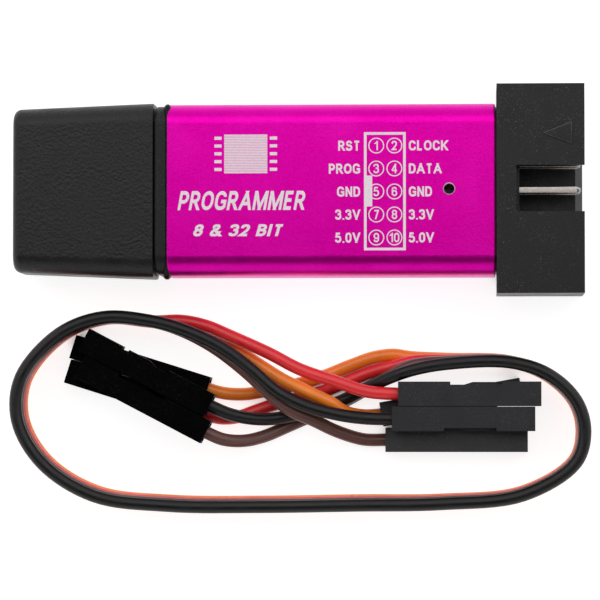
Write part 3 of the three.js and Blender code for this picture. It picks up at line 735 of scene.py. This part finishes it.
def end_collar():
    """Closing collar: bevelled flange, lip round the plug, and two spigots that grip in the tube."""
    low, high, back = COLLAR_LOW.x, COLLAR_LOW.x + COLLAR["flange"], COLLAR_HIGH.x
    width, height = PLUG_SIZE
    flange = bar(
        low, high, COLLAR["width"], COLLAR["height"], COLLAR["radius"], MID, COLLAR["edge"], slope=0.5
    )
    lip = bar(low - 0.22, low + 0.2, width + 1.0, height + 1.0, 0.9, MID, 0.05)
    spigot = bar(high - 0.2, back, TUBE_WIDTH - 3, TUBE_HEIGHT - 2.2, 0.8, MID, 0.2)
    board_gap = block((high, -20, BOARD_LOW.z - PLAY), (back + 1, 20, BOARD_HIGH.z + PLAY))
    opening = loft([
        ring(x, width + play, height + play, radius, MID, 4)
        for x, play, radius in ((low - 0.3, 0.7, 0.8), (low + 0.1, 0.2, 0.6), (back + 1, 0.2, 0.6))
    ])
    return cut(join(flange, spigot, lip), board_gap, opening)


def glue_line():
    """Black adhesive squeezed out all round between collar and tube, with a lump at two corners."""
    chance = random.Random(GLUE_SEED)
    x = (COLLAR_LOW.x + COLLAR["flange"] + TUBE_LOW.x) / 2
    path = ring(x, TUBE_WIDTH - 0.3, TUBE_HEIGHT - 0.3, 1.9, MID, 10)
    lumps = [  # where each lies, how much thicker it is there and how far it reaches
        (Vector((x + 0.1, 8.1, MID_Z + 3)), 0.34, 0.75),
        (Vector((x - 0.35, -8.2, MID_Z + 2.2)), 0.4, 1.3),
    ]
    dense = []
    for a, b in zip(path, path[1:] + path[:1]):
        count = max(1, round((b - a).length / 0.3))
        dense += [a.lerp(b, i / count) for i in range(count)]
    rings = []
    for i, point in enumerate(dense):
        after, before = dense[(i + 1) % len(dense)], dense[i - 1]
        along = (after - before).normalized()
        out = Vector((1, 0, 0)).cross(along).normalized()
        radius = GLUE_RADIUS + chance.uniform(-0.015, 0.02)
        shift = Vector((0, 0, 0))
        for place, extra, reach in lumps:
            near = math.exp(-((point - place).length / reach) ** 2)
            radius += extra * near * chance.uniform(0.85, 1.1)
            shift += (place - point) * near * 0.25
        section = []
        for step in range(10):
            t = 2 * math.pi * step / 10
            flat_x = Vector((1, 0, 0)) * radius * 0.9 * math.cos(t)
            section.append(point + shift + flat_x + out * radius * math.sin(t))
        rings.append(section)
    return loft(rings, closed=True)


def tube_shell():
    """Extruded tube: chamfered ends, board grooves inside, countersunk light hole on top."""
    low, high = TUBE_LOW.x, TUBE_HIGH.x
    outside = bar(low, high, TUBE_WIDTH, TUBE_HEIGHT, TUBE["radius"], MID, TUBE["edge"], 14, 0.45)
    bore_size = (TUBE_WIDTH - 2 * TUBE["side_wall"], TUBE_HEIGHT - 2 * TUBE["wall"])
    bore = bar(low - 1, high + 1, *bore_size, TUBE["bore_radius"], MID)
    groove = block(
        (-30, BOARD_LOW.y - PLAY, BOARD_LOW.z - PLAY), (30, BOARD_HIGH.y + PLAY, BOARD_HIGH.z + PLAY)
    )
    hole_x, top = (LED_LOW.x + LED_HIGH.x) / 2, TUBE_HIGH.z
    radius, countersink, depth = LED_HOLE["radius"], LED_HOLE["countersink"], LED_HOLE["depth"]
    hole = lathe([(radius, top - 2), (radius, top - depth), (countersink, top + 0.03)], (hole_x, 0))
    solid = cut(outside, bore, groove, hole)
    for face in solid.faces:
        middle = face.calc_center_median() - Vector((hole_x, 0, top))
        if middle.length < countersink and middle.z > -depth and face.normal.z < 0.95:
            face.material_index = BARE_SLOT
    return solid


def header_shroud():
    """Box header's moulding: flared mouth, key notch, pin holes, raised pin-1 mark, gate dent."""
    wall, flare, floor = HEADER["wall"], HEADER["flare"], HEADER_LOW.x + HEADER["floor"]
    half, key = HEADER_HIGH.y, HEADER["key"] / 2
    width, height = 2 * (half - wall), HEADER_TOP - 2 * wall
    above, mid = HEADER_TOP + 1, (0, HEADER_TOP / 2)
    solid = cut(
        block((HEADER_LOW.x, -half, 0), (RIM_X, half, HEADER_TOP)),
        bar(floor, RIM_X + 1, width, height, 0.15, mid, steps=2),
        loft([
            ring(RIM_X - flare, width, height, 0.1, mid, 2),
            ring(RIM_X + 0.01, width + 2 * flare - 0.15, height + 2 * flare - 0.15, 0.1, mid, 2),
        ]),
        block((floor - 0.05, -key, HEADER_TOP / 2), (RIM_X + 1, key, above)),
        block((floor - 0.35, -key, HEADER_TOP - wall - 0.1), (floor, key, above)),
        block((23.3, -2.62, HEADER_TOP - 0.35), (23.9, -2, above)),
    )
    for index in range(1, 11):
        low, high = span("header_pin_%d" % index)
        hole = block((0, low.y - 0.04, low.z - 0.04), (floor + 0.1, high.y + 0.04, high.z + 0.04))
        solid = cut(solid, hole)
    solid = soften(solid, HEADER["edge"], 2, 40)
    mark_y, sunk = 5.33, 0.1
    outline = [(RIM_X - 4.1, mark_y), (RIM_X - 1.2, mark_y - 1.15), (RIM_X - 1.2, mark_y + 1.15)]
    mark = soften(prism(outline, HEADER_TOP - sunk, HEADER_HIGH.z), 0.09)
    solid = join(solid, mark)
    # The mouth's lead-in faces and the pin-1 mark's sides take the glossier look, whose lighter colour
    # is a painted highlight.
    for face in solid.faces:
        middle, normal = face.calc_center_median(), face.normal
        at_mouth = middle.x > RIM_X - flare - 0.05 and abs(middle.y) < half - 0.1
        on_mark = middle.z > HEADER_TOP + 0.01 and normal.z < 0.97
        if (at_mouth and 0.3 < normal.x < 0.97) or on_mark:
            face.material_index = GLOSS_PAINTED_LIGHT_SLOT
    return solid


def header_bond():
    """Black adhesive that closes the joint between the tube's end and the header."""
    start, end = TUBE_HIGH.x - 0.02, HEADER_LOW.x + 0.02
    return loft([
        ring(x, TUBE_WIDTH - 2 * inset, TUBE_HEIGHT - 2 * inset, TUBE["radius"] - inset, MID)
        for x, inset in ((start, 0.3), (end, 0.3), (end, 1.3), (start, 1.3))
    ], closed=True)


def header_pin(index):
    """Square pin with slightly rounded corners and a four-sided point at each end."""
    low, high = span("header_pin_%d" % index)
    mid = ((low.y + high.y) / 2, (low.z + high.z) / 2)
    side, taper = high.y - low.y, 0.45
    stations = [(low.x, 0.5), (low.x + taper, 1)]
    stations += [(high.x - taper, 1), (high.x - 0.12, 0.62), (high.x, 0.42)]
    return loft([ring(x, side * s, side * s, 0.07 * s, mid, 3) for x, s in stations])


def plug_shell():
    """Pressed steel plug shell: rolled lip, spring windows, folded seam underneath, board ears."""
    wall, tip, back = PLUG_WALL, PLUG_LOW.x, PLUG_HIGH.x
    width, height = PLUG_SIZE
    outer = [(tip, 0.16), (tip + 0.05, 0.06), (tip + 0.16, 0), (back - 0.05, 0), (back, 0.05)]
    inner = [(back, wall), (tip + 0.3, wall), (tip + 0.08, wall - 0.03), (tip, 0.22)]
    solid = loft([
        ring(x, width - 2 * inset, height - 2 * inset, max(0.55 - inset, 0.2), MID, 5)
        for x, inset in outer + inner
    ], closed=True)
    for side in (-1, 1):
        y = side * 2.85
        window = loft([
            [Vector((tip + 6.2 + p.y, y + p.z, z)) for p in ring(0, 2, 2.3, 0.25, steps=4)]
            for z in (MID_Z - 5, MID_Z + 5)
        ])
        solid = cut(solid, window)
        low, high = sorted((side * (width / 2 - 0.1), PLUG_HIGH.y * side))
        ear = block((back - 1.4, low, BOARD_HIGH.z + 0.05), (back - 0.1, high, BOARD_HIGH.z + 0.35))
        solid = join(solid, soften(ear, 0.08))
    turn, inside = tip + 8, MID_Z - 1
    seam = block((tip - 1, -0.04, 0), (turn, 0.04, inside))
    across = [(turn, -0.6), (tip + 8.08, -0.6), (tip + 8.08, 0.6), (turn, 0.6)]
    rest = block((turn, 0.52, 0), (back + 1, 0.6, inside))
    return cut(solid, seam, prism(across, 0, inside), rest)


stand_in("usb_cap", usb_cap(), CAP_BLACK, "cap")
stand_in("end_collar", end_collar(), COLLAR_BLACK)
piece("glue_line", glue_line(), GLUE, smooth=80)
stand_in("tube_shell", tube_shell(), [MAGENTA, BARE])
stand_in("header_shroud", header_shroud(), [HEADER_BLACK, HEADER_GLOSS_PAINTED_LIGHT])
piece("header_bond", header_bond(), GLUE, smooth=80)
for number in range(1, 11):
    stand_in("header_pin_%d" % number, header_pin(number), TIN)
stand_in("usb_plug_shell", plug_shell(), STEEL)
tongue = soften(from_cad("usb_plug_tongue"), 0.08)
stand_in("usb_plug_tongue", tongue, TONGUE_BLACK)
for number in range(1, 5):
    contact = "usb_contact_%d" % number
    stand_in(contact, soften(from_cad(contact), 0.05), GOLD)

# ---- Laser print ----

PRINT_THICKNESS = 0.012
PRINT_LINE = 0.25
TABLE_X, TABLE_Y = (6.5, 10.55), (-5.98, 5.5)
COLUMNS = (7.69, 9.45)
ROWS = [4.2 - 2.235 * row for row in range(5)]
LABELS = [("RST", "CLOCK"), ("PROG", "DATA"), ("GND", "GND"), ("3.3V", "3.3V"), ("5.0V", "5.0V")]

# Each sign's width and strokes, on capitals one unit high, measured at the middle of the stroke. A
# stroke is its points and how far its corners are rounded; a closed stroke is marked.
STEM = ([(0, 0), (0, 1)], 0)
SIGNS = {
    "A": (0.84, [([(0, 0), (0.42, 1)], 0), ([(0.84, 0), (0.42, 1)], 0),
        ([(0.2, 0.3), (0.64, 0.3)], 0)]),
    "B": (0.62, [STEM, ([(0, 1), (0.57, 1), (0.57, 0.53), (0, 0.53)], 0.24),
        ([(0, 0.53), (0.62, 0.53), (0.62, 0), (0, 0)], 0.27)]),
    "C": (0.72, [([(0.7, 0.7), (0.7, 1), (0, 1), (0, 0), (0.72, 0), (0.72, 0.32)], 0.36)]),
    "D": (0.68, [STEM, ([(0, 1), (0.68, 1), (0.68, 0), (0, 0)], 0.42)]),
    "E": (0.56, [STEM, ([(0, 1), (0.56, 1)], 0), ([(0, 0.52), (0.5, 0.52)], 0),
        ([(0, 0), (0.56, 0)], 0)]),
    "G": (0.76, [([(0.72, 0.74), (0.72, 1), (0, 1), (0, 0), (0.76, 0), (0.76, 0.3)], 0.36),
        ([(0.42, 0.44), (0.76, 0.44), (0.76, 0.05)], 0)]),
    "I": (0, [STEM]),
    "K": (0.7, [STEM, ([(0.66, 1), (0.04, 0.34)], 0), ([(0.24, 0.56), (0.68, 0)], 0)]),
    "L": (0.54, [([(0, 1), (0, 0)], 0), ([(0, 0), (0.54, 0)], 0)]),
    "M": (0.98, [STEM, ([(0.98, 0), (0.98, 1)], 0), ([(0.07, 1), (0.49, 0)], 0),
        ([(0.91, 1), (0.49, 0)], 0)]),
    "N": (0.66, [STEM, ([(0.66, 0), (0.66, 1)], 0), ([(0.04, 1), (0.62, 0)], 0)]),
    "O": (0.8, [([(0, 0), (0.8, 0), (0.8, 1), (0, 1)], 0.4, True)]),
    "P": (0.6, [STEM, ([(0, 1), (0.6, 1), (0.6, 0.42), (0, 0.42)], 0.29)]),
    "R": (0.66, [STEM, ([(0, 1), (0.6, 1), (0.6, 0.46), (0, 0.46)], 0.27),
        ([(0.32, 0.46), (0.64, 0)], 0)]),
    "S": (0.62, [([(0.59, 0.76), (0.59, 1), (0.02, 1), (0.02, 0.54), (0.62, 0.5), (0.62, 0), (0, 0),
          (0, 0.25)], 0.25)]),
    "T": (0.66, [([(0, 1), (0.66, 1)], 0), ([(0.33, 1), (0.33, 0)], 0)]),
    "V": (0.78, [([(0, 1), (0.39, 0)], 0), ([(0.78, 1), (0.39, 0)], 0)]),
    "&": (0.78, [([(0.78, 0), (0.22, 0.62)], 0),
        ([(0.24, 0.6), (0.12, 0.76), (0.12, 1), (0.34, 1)], 0.2),
        ([(0.33, 1), (0.55, 1), (0.55, 0.7), (0, 0.36), (0, 0), (0.3, 0)], 0.2),
        ([(0.29, 0), (0.54, 0), (0.76, 0.4)], 0.16)]),
    ".": (0, [([(0, 0), (0, 0.04)], 0)]),
    " ": (0.12, []),
    "0": (0.58, [([(0, 0), (0.58, 0), (0.58, 1), (0, 1)], 0.29, True)]),
    "1": (0.34, [([(0.3, 0), (0.3, 1)], 0), ([(0.3, 0.95), (0, 0.72)], 0)]),
    "2": (0.58, [([(0, 0.72), (0, 1), (0.56, 1), (0.56, 0.56), (0.02, 0)], 0.27),
        ([(0, 0), (0.6, 0)], 0)]),
    "3": (0.58, [([(0, 0.76), (0, 1), (0.55, 1), (0.55, 0.54), (0.22, 0.54)], 0.23),
        ([(0.22, 0.54), (0.58, 0.54), (0.58, 0), (0, 0), (0, 0.24)], 0.26)]),
    "4": (0.64, [([(0.46, 0), (0.46, 1)], 0), ([(0.44, 1), (0, 0.28)], 0),
        ([(0, 0.25), (0.66, 0.25)], 0)]),
    "5": (0.58, [([(0.52, 1), (0.08, 1), (0.04, 0.5)], 0),
        ([(0.03, 0.54), (0.1, 0.62), (0.58, 0.62), (0.58, 0), (0, 0), (0, 0.24)], 0.27)]),
    "6": (0.58, [([(0, 0), (0.58, 0), (0.58, 0.6), (0, 0.6)], 0.28, True),
        ([(0.55, 0.76), (0.55, 1), (0, 1), (0, 0.3)], 0.27)]),
    "7": (0.56, [([(0, 1), (0.56, 1)], 0), ([(0.54, 1), (0.2, 0)], 0)]),
    "8": (0.58, [([(0.03, 0.54), (0.55, 0.54), (0.55, 1), (0.03, 1)], 0.23, True),
        ([(0, 0), (0.58, 0), (0.58, 0.54), (0, 0.54)], 0.26, True)]),
    "9": (0.58, [([(0, 0.4), (0.58, 0.4), (0.58, 1), (0, 1)], 0.28, True),
        ([(0.58, 0.7), (0.58, 0), (0.03, 0), (0.03, 0.24)], 0.27)]),
}


def rounded(points, reach, closed):
    """The points with their corners drawn as curves that start up to reach before each corner."""
    if not reach:
        return points
    count, route = len(points), []
    for i, corner in enumerate(points):
        if not closed and i in (0, count - 1):
            route.append(corner)
            continue
        before, after = points[i - 1], points[(i + 1) % count]
        start = corner + (before - corner).normalized() * min(reach, (before - corner).length / 2)
        end = corner + (after - corner).normalized() * min(reach, (after - corner).length / 2)
        if (before - corner).length <= reach * 1.01 and not closed and i == 1:
            start = before
        for step in range(6):
            t = step / 5
            pull = 0.55  # how near a quarter circle the curve keeps
            b, c = start.lerp(corner, pull), end.lerp(corner, pull)
            route.append(
                (1 - t)**3 * start + 3 * (1 - t)**2 * t * b + 3 * (1 - t) * t**2 * c + t**3 * end
            )
    tidy = [p for i, p in enumerate(route) if i == 0 or (p - route[i - 1]).length > 1e-4]
    return tidy[:-1] if closed and (tidy[-1] - tidy[0]).length < 1e-4 else tidy


def stroke(points, weight, closed, high):
    """A pen stroke of the given weight, up to high; ends at the top or bottom line are cut level."""
    half, count, sides = weight / 2, len(points), []
    for i, point in enumerate(points):
        before = points[i - 1] if closed or i else None
        after = points[(i + 1) % count] if closed or i < count - 1 else None
        if before is not None and after is not None:
            a, b = (point - before).normalized(), (after - point).normalized()
            normal = (Vector((-a.y, a.x)) + Vector((-b.y, b.x))).normalized()
            normal *= half / max(normal.dot(Vector((-a.y, a.x))), 0.35)
        else:
            way = ((after - point) if before is None else (point - before)).normalized()
            if abs(way.y) > 0.5:
                normal = Vector((-half / abs(way.y), 0)) * (1 if way.y > 0 else -1)
                if min(abs(point.y), abs(point.y - 1)) < 1e-6:
                    point = point + way * half / abs(way.y) * (-1 if before is None else 1)
            else:
                normal = Vector((-way.y, way.x)) * half
        sides.append((point + normal, point - normal))
    left, right = [a for a, _ in sides], [b for _, b in sides]
    if not closed:
        return prism([*left, *right[::-1]], 0, high)
    return loft([[Vector((*p, z)) for p in side] for side, z in (
        (left, 0), (left, high), (right, high), (right, 0),
    )], closed=True)


def sign(letter, weight):
    """One sign, about one unit thick, with each stroke a hair lower than the one before it."""
    parts = []
    for points, reach, *closed in SIGNS[letter][1]:
        route = rounded([Vector(p) for p in points], reach, bool(closed))
        parts.append(stroke(route, weight, bool(closed), 1 - 0.06 * len(parts)))
    return gathered(*parts)


def lettering(text, height, place, align="CENTER", width=None, lean=0.0, weight=0.25, gap=0.16):
    """Printed signs of one height; place is the middle of the line's height at its aligned end."""
    line, x = [], 0.0
    for letter in text:
        if x:
            x += weight + gap
        line.append(moved(sign(letter, weight), Matrix.Translation((x, 0, 0))))
        x += SIGNS[letter][0]
    solid = gathered(*line)
    scale_y = height / (1 + weight)
    scale_x = scale_y * 0.9 if width is None else width / (x + weight + lean * (1 + weight))
    low, high = -weight / 2, x + weight / 2
    start = {"LEFT": low, "RIGHT": high, "CENTER": (low + high) / 2}[align]
    for vert in solid.verts:
        level = vert.co.y - 0.5
        vert.co.x = place[0] + (vert.co.x - start + lean * level) * scale_x
        vert.co.y = place[1] + level * scale_y
        vert.co.z = TUBE_HIGH.z + vert.co.z * PRINT_THICKNESS
    return solid


def flat(points, thickness=PRINT_THICKNESS):
    """A thin printed patch with the given outline."""
    return prism(points, TUBE_HIGH.z, TUBE_HIGH.z + thickness)


def printed_box(x, y):
    return flat([(x[0], y[0]), (x[1], y[0]), (x[1], y[1]), (x[0], y[1])])


def printed_frame(x, y, line):
    """Four strips round a rectangle."""
    return [
        printed_box(x, (y[1] - line, y[1])), printed_box(x, (y[0], y[0] + line)),
        printed_box((x[0], x[0] + line), (y[0] + line, y[1] - line)),
        printed_box((x[1] - line, x[1]), (y[0] + line, y[1] - line)),
    ]


def printed_circle(place, radius, line, steps=36):
    low, high, inner = TUBE_HIGH.z, TUBE_HIGH.z + PRINT_THICKNESS, radius - line
    return lathe([(radius, low), (radius, high), (inner, high), (inner, low)], place, steps, True)


def hatched(x, y, line=0.125, gap=0.03):
    """A patch made of fine printed lines along X."""
    count = int((y[1] - y[0]) / (line + gap))
    step = (y[1] - y[0]) / count
    return [printed_box(x, (y[0] + i * step, y[0] + i * step + line)) for i in range(count)]


def chip_pictogram():
    """A generic chip, seen from above, with its legs: the mark of what the tool programs."""
    x, y = (-7.1, -2.9), (1.55, 5.35)
    marks = hatched(x, y)
    for leg in range(5):
        middle = y[0] + (leg + 0.5) * (y[1] - y[0]) / 5
        for start, end in ((x[0] - 0.95, x[0] - 0.25), (x[1] + 0.25, x[1] + 0.95)):
            marks.append(printed_box((start, end), (middle - 0.15, middle + 0.15)))
    return marks


def shell_print():
    marks = [*chip_pictogram(), *printed_frame(TABLE_X, TABLE_Y, PRINT_LINE)]
    marks.append(flat([(6.75, -1.72), (7.3, -1.72), (7.3, 1.29), (6.75, 1.29)], 0.9 * PRINT_THICKNESS))
    for row, (y, labels) in enumerate(zip(ROWS, LABELS)):
        for side, x in enumerate(COLUMNS):
            marks.append(printed_circle((x, y), 0.77, 0.1))
            number = str(2 * row + side + 1)
            width = 0.95 if len(number) > 1 else None
            marks.append(lettering(number, 0.9, (x, y), width=width, weight=0.19, gap=0.12))
        marks.append(lettering(labels[0], 0.98, (6.12, y), "RIGHT"))
        marks.append(lettering(labels[1], 0.98, (10.85, y), "LEFT"))
    marks.append(lettering("PROGRAMMER", 1.85, (-5.35, -1.1), width=12.6, lean=0.25, weight=0.23))
    marks.append(lettering("8 & 32 BIT", 1.16, (-5.7, -4), width=9.0, lean=0.25, weight=0.27))
    return gathered(*marks)


piece("laser_print", shell_print(), MARK, smooth=20)

# ---- Board and what is soldered on it ----

# Each part's look, slot and how far its edges are rounded.
SMALL_PARTS = {
    "microcontroller": (EPOXY, "chip_epoxy", 0.05),
    "crystal": (CAN, "crystal_can", 0.08),
    "regulator": (EPOXY, "chip_epoxy", 0.05),
    "status_led_red": (LENS["red"], "led_lens", 0.05),
    "status_led_blue": (LENS["blue"], "led_lens", 0.05),
}
SMALL_PARTS |= {"capacitor_%d" % n: (CERAMIC, "ceramic_body", 0.05) for n in range(1, 5)}
SMALL_PARTS |= {"resistor_%d" % n: (EPOXY, "chip_epoxy", 0.03) for n in range(1, 5)}
SMALL_PARTS["circuit_board"] = (BOARD_BLUE, "solder_mask", 0.05)

for part, (finish, slot_name, edge_width) in SMALL_PARTS.items():
    stand_in(part, soften(from_cad(part), edge_width, 1), finish)

# ---- Floor and light ----

FLOOR_HALF, FLOOR_GAP = 900, 0.02 * MM
FLOOR_GLOW = 0.85
FLOOR_SHADE = 2.2 * MM  # how far from the object the floor's own light fades
HORIZON, OVERHEAD = 0.9, 0.11
HORIZON_FADE = (0.58, 0.74)  # the heights, as sines, between which the horizon's light fades
KEY_LOW, KEY_HIGH, KEY_RADIANCE = (-350, 12, 300), (350, 300, 300), 1.38


def floor():
    """A large flat sheet just under the object, glowing like a light table but for close to it."""
    solid = bmesh.new()
    bmesh.ops.create_grid(solid, x_segments=8, y_segments=8, size=FLOOR_HALF)
    bmesh.ops.scale(solid, vec=(MM,) * 3, verts=solid.verts)
    mesh = as_mesh(solid, "floor")
    made = placed("floor", mesh)
    made.location.z = -FLOOR_GAP
    s = Surface("light_table", (175, 175, 175), 0.9, Specular_IOR_Level=0.2)
    s.shader.inputs["Emission Color"].default_value = (1, 1, 1, 1)
    s.tint(s.between(s.noise(40), 0.4, 0.7, 0, 0.3), (170, 170, 170))
    open_sky = s.node("ShaderNodeAmbientOcclusion", {"Distance": FLOOR_SHADE}, samples=16)
    glow = s.between(open_sky.outputs["AO"], 0.02, 0.4, 0.0, FLOOR_GLOW)
    s.tree.links.new(glow, s.shader.inputs["Emission Strength"])
    mesh.materials.append(s.material)


def softbox(name, low, high, radiance):
    """A level light panel that faces down, between two corners, as bright as its radiance says."""
    width, depth = (high[0] - low[0]) * MM, (high[1] - low[1]) * MM
    data = bpy.data.lights.new(name, "AREA")
    data.shape = "RECTANGLE"
    data.size, data.size_y = width, depth
    data.energy = radiance * math.pi * width * depth
    made = placed(name, data)
    made.location = (Vector(low) + Vector(high)) / 2 * MM
    made.visible_camera = False


def studio():
    """Light from all round the horizon, darker overhead."""
    world = bpy.data.worlds.new("studio")
    world.use_nodes = True
    tree = world.node_tree
    way = tree.nodes.new("ShaderNodeTexCoord").outputs["Generated"]
    parts = tree.nodes.new("ShaderNodeSeparateXYZ")
    tree.links.new(way, parts.inputs[0])
    fade = tree.nodes.new("ShaderNodeMapRange")
    for socket, value in zip(range(1, 5), (*HORIZON_FADE, HORIZON, OVERHEAD)):
        fade.inputs[socket].default_value = value
    tree.links.new(parts.outputs["Z"], fade.inputs[0])
    tree.links.new(fade.outputs[0], tree.nodes["Background"].inputs["Strength"])
    tree.nodes["Background"].inputs["Color"].default_value = (1, 1, 1, 1)
    bpy.context.scene.world = world
    bpy.context.scene.view_settings.view_transform = "Standard"


studio()
softbox("key", KEY_LOW, KEY_HIGH, KEY_RADIANCE)
floor()
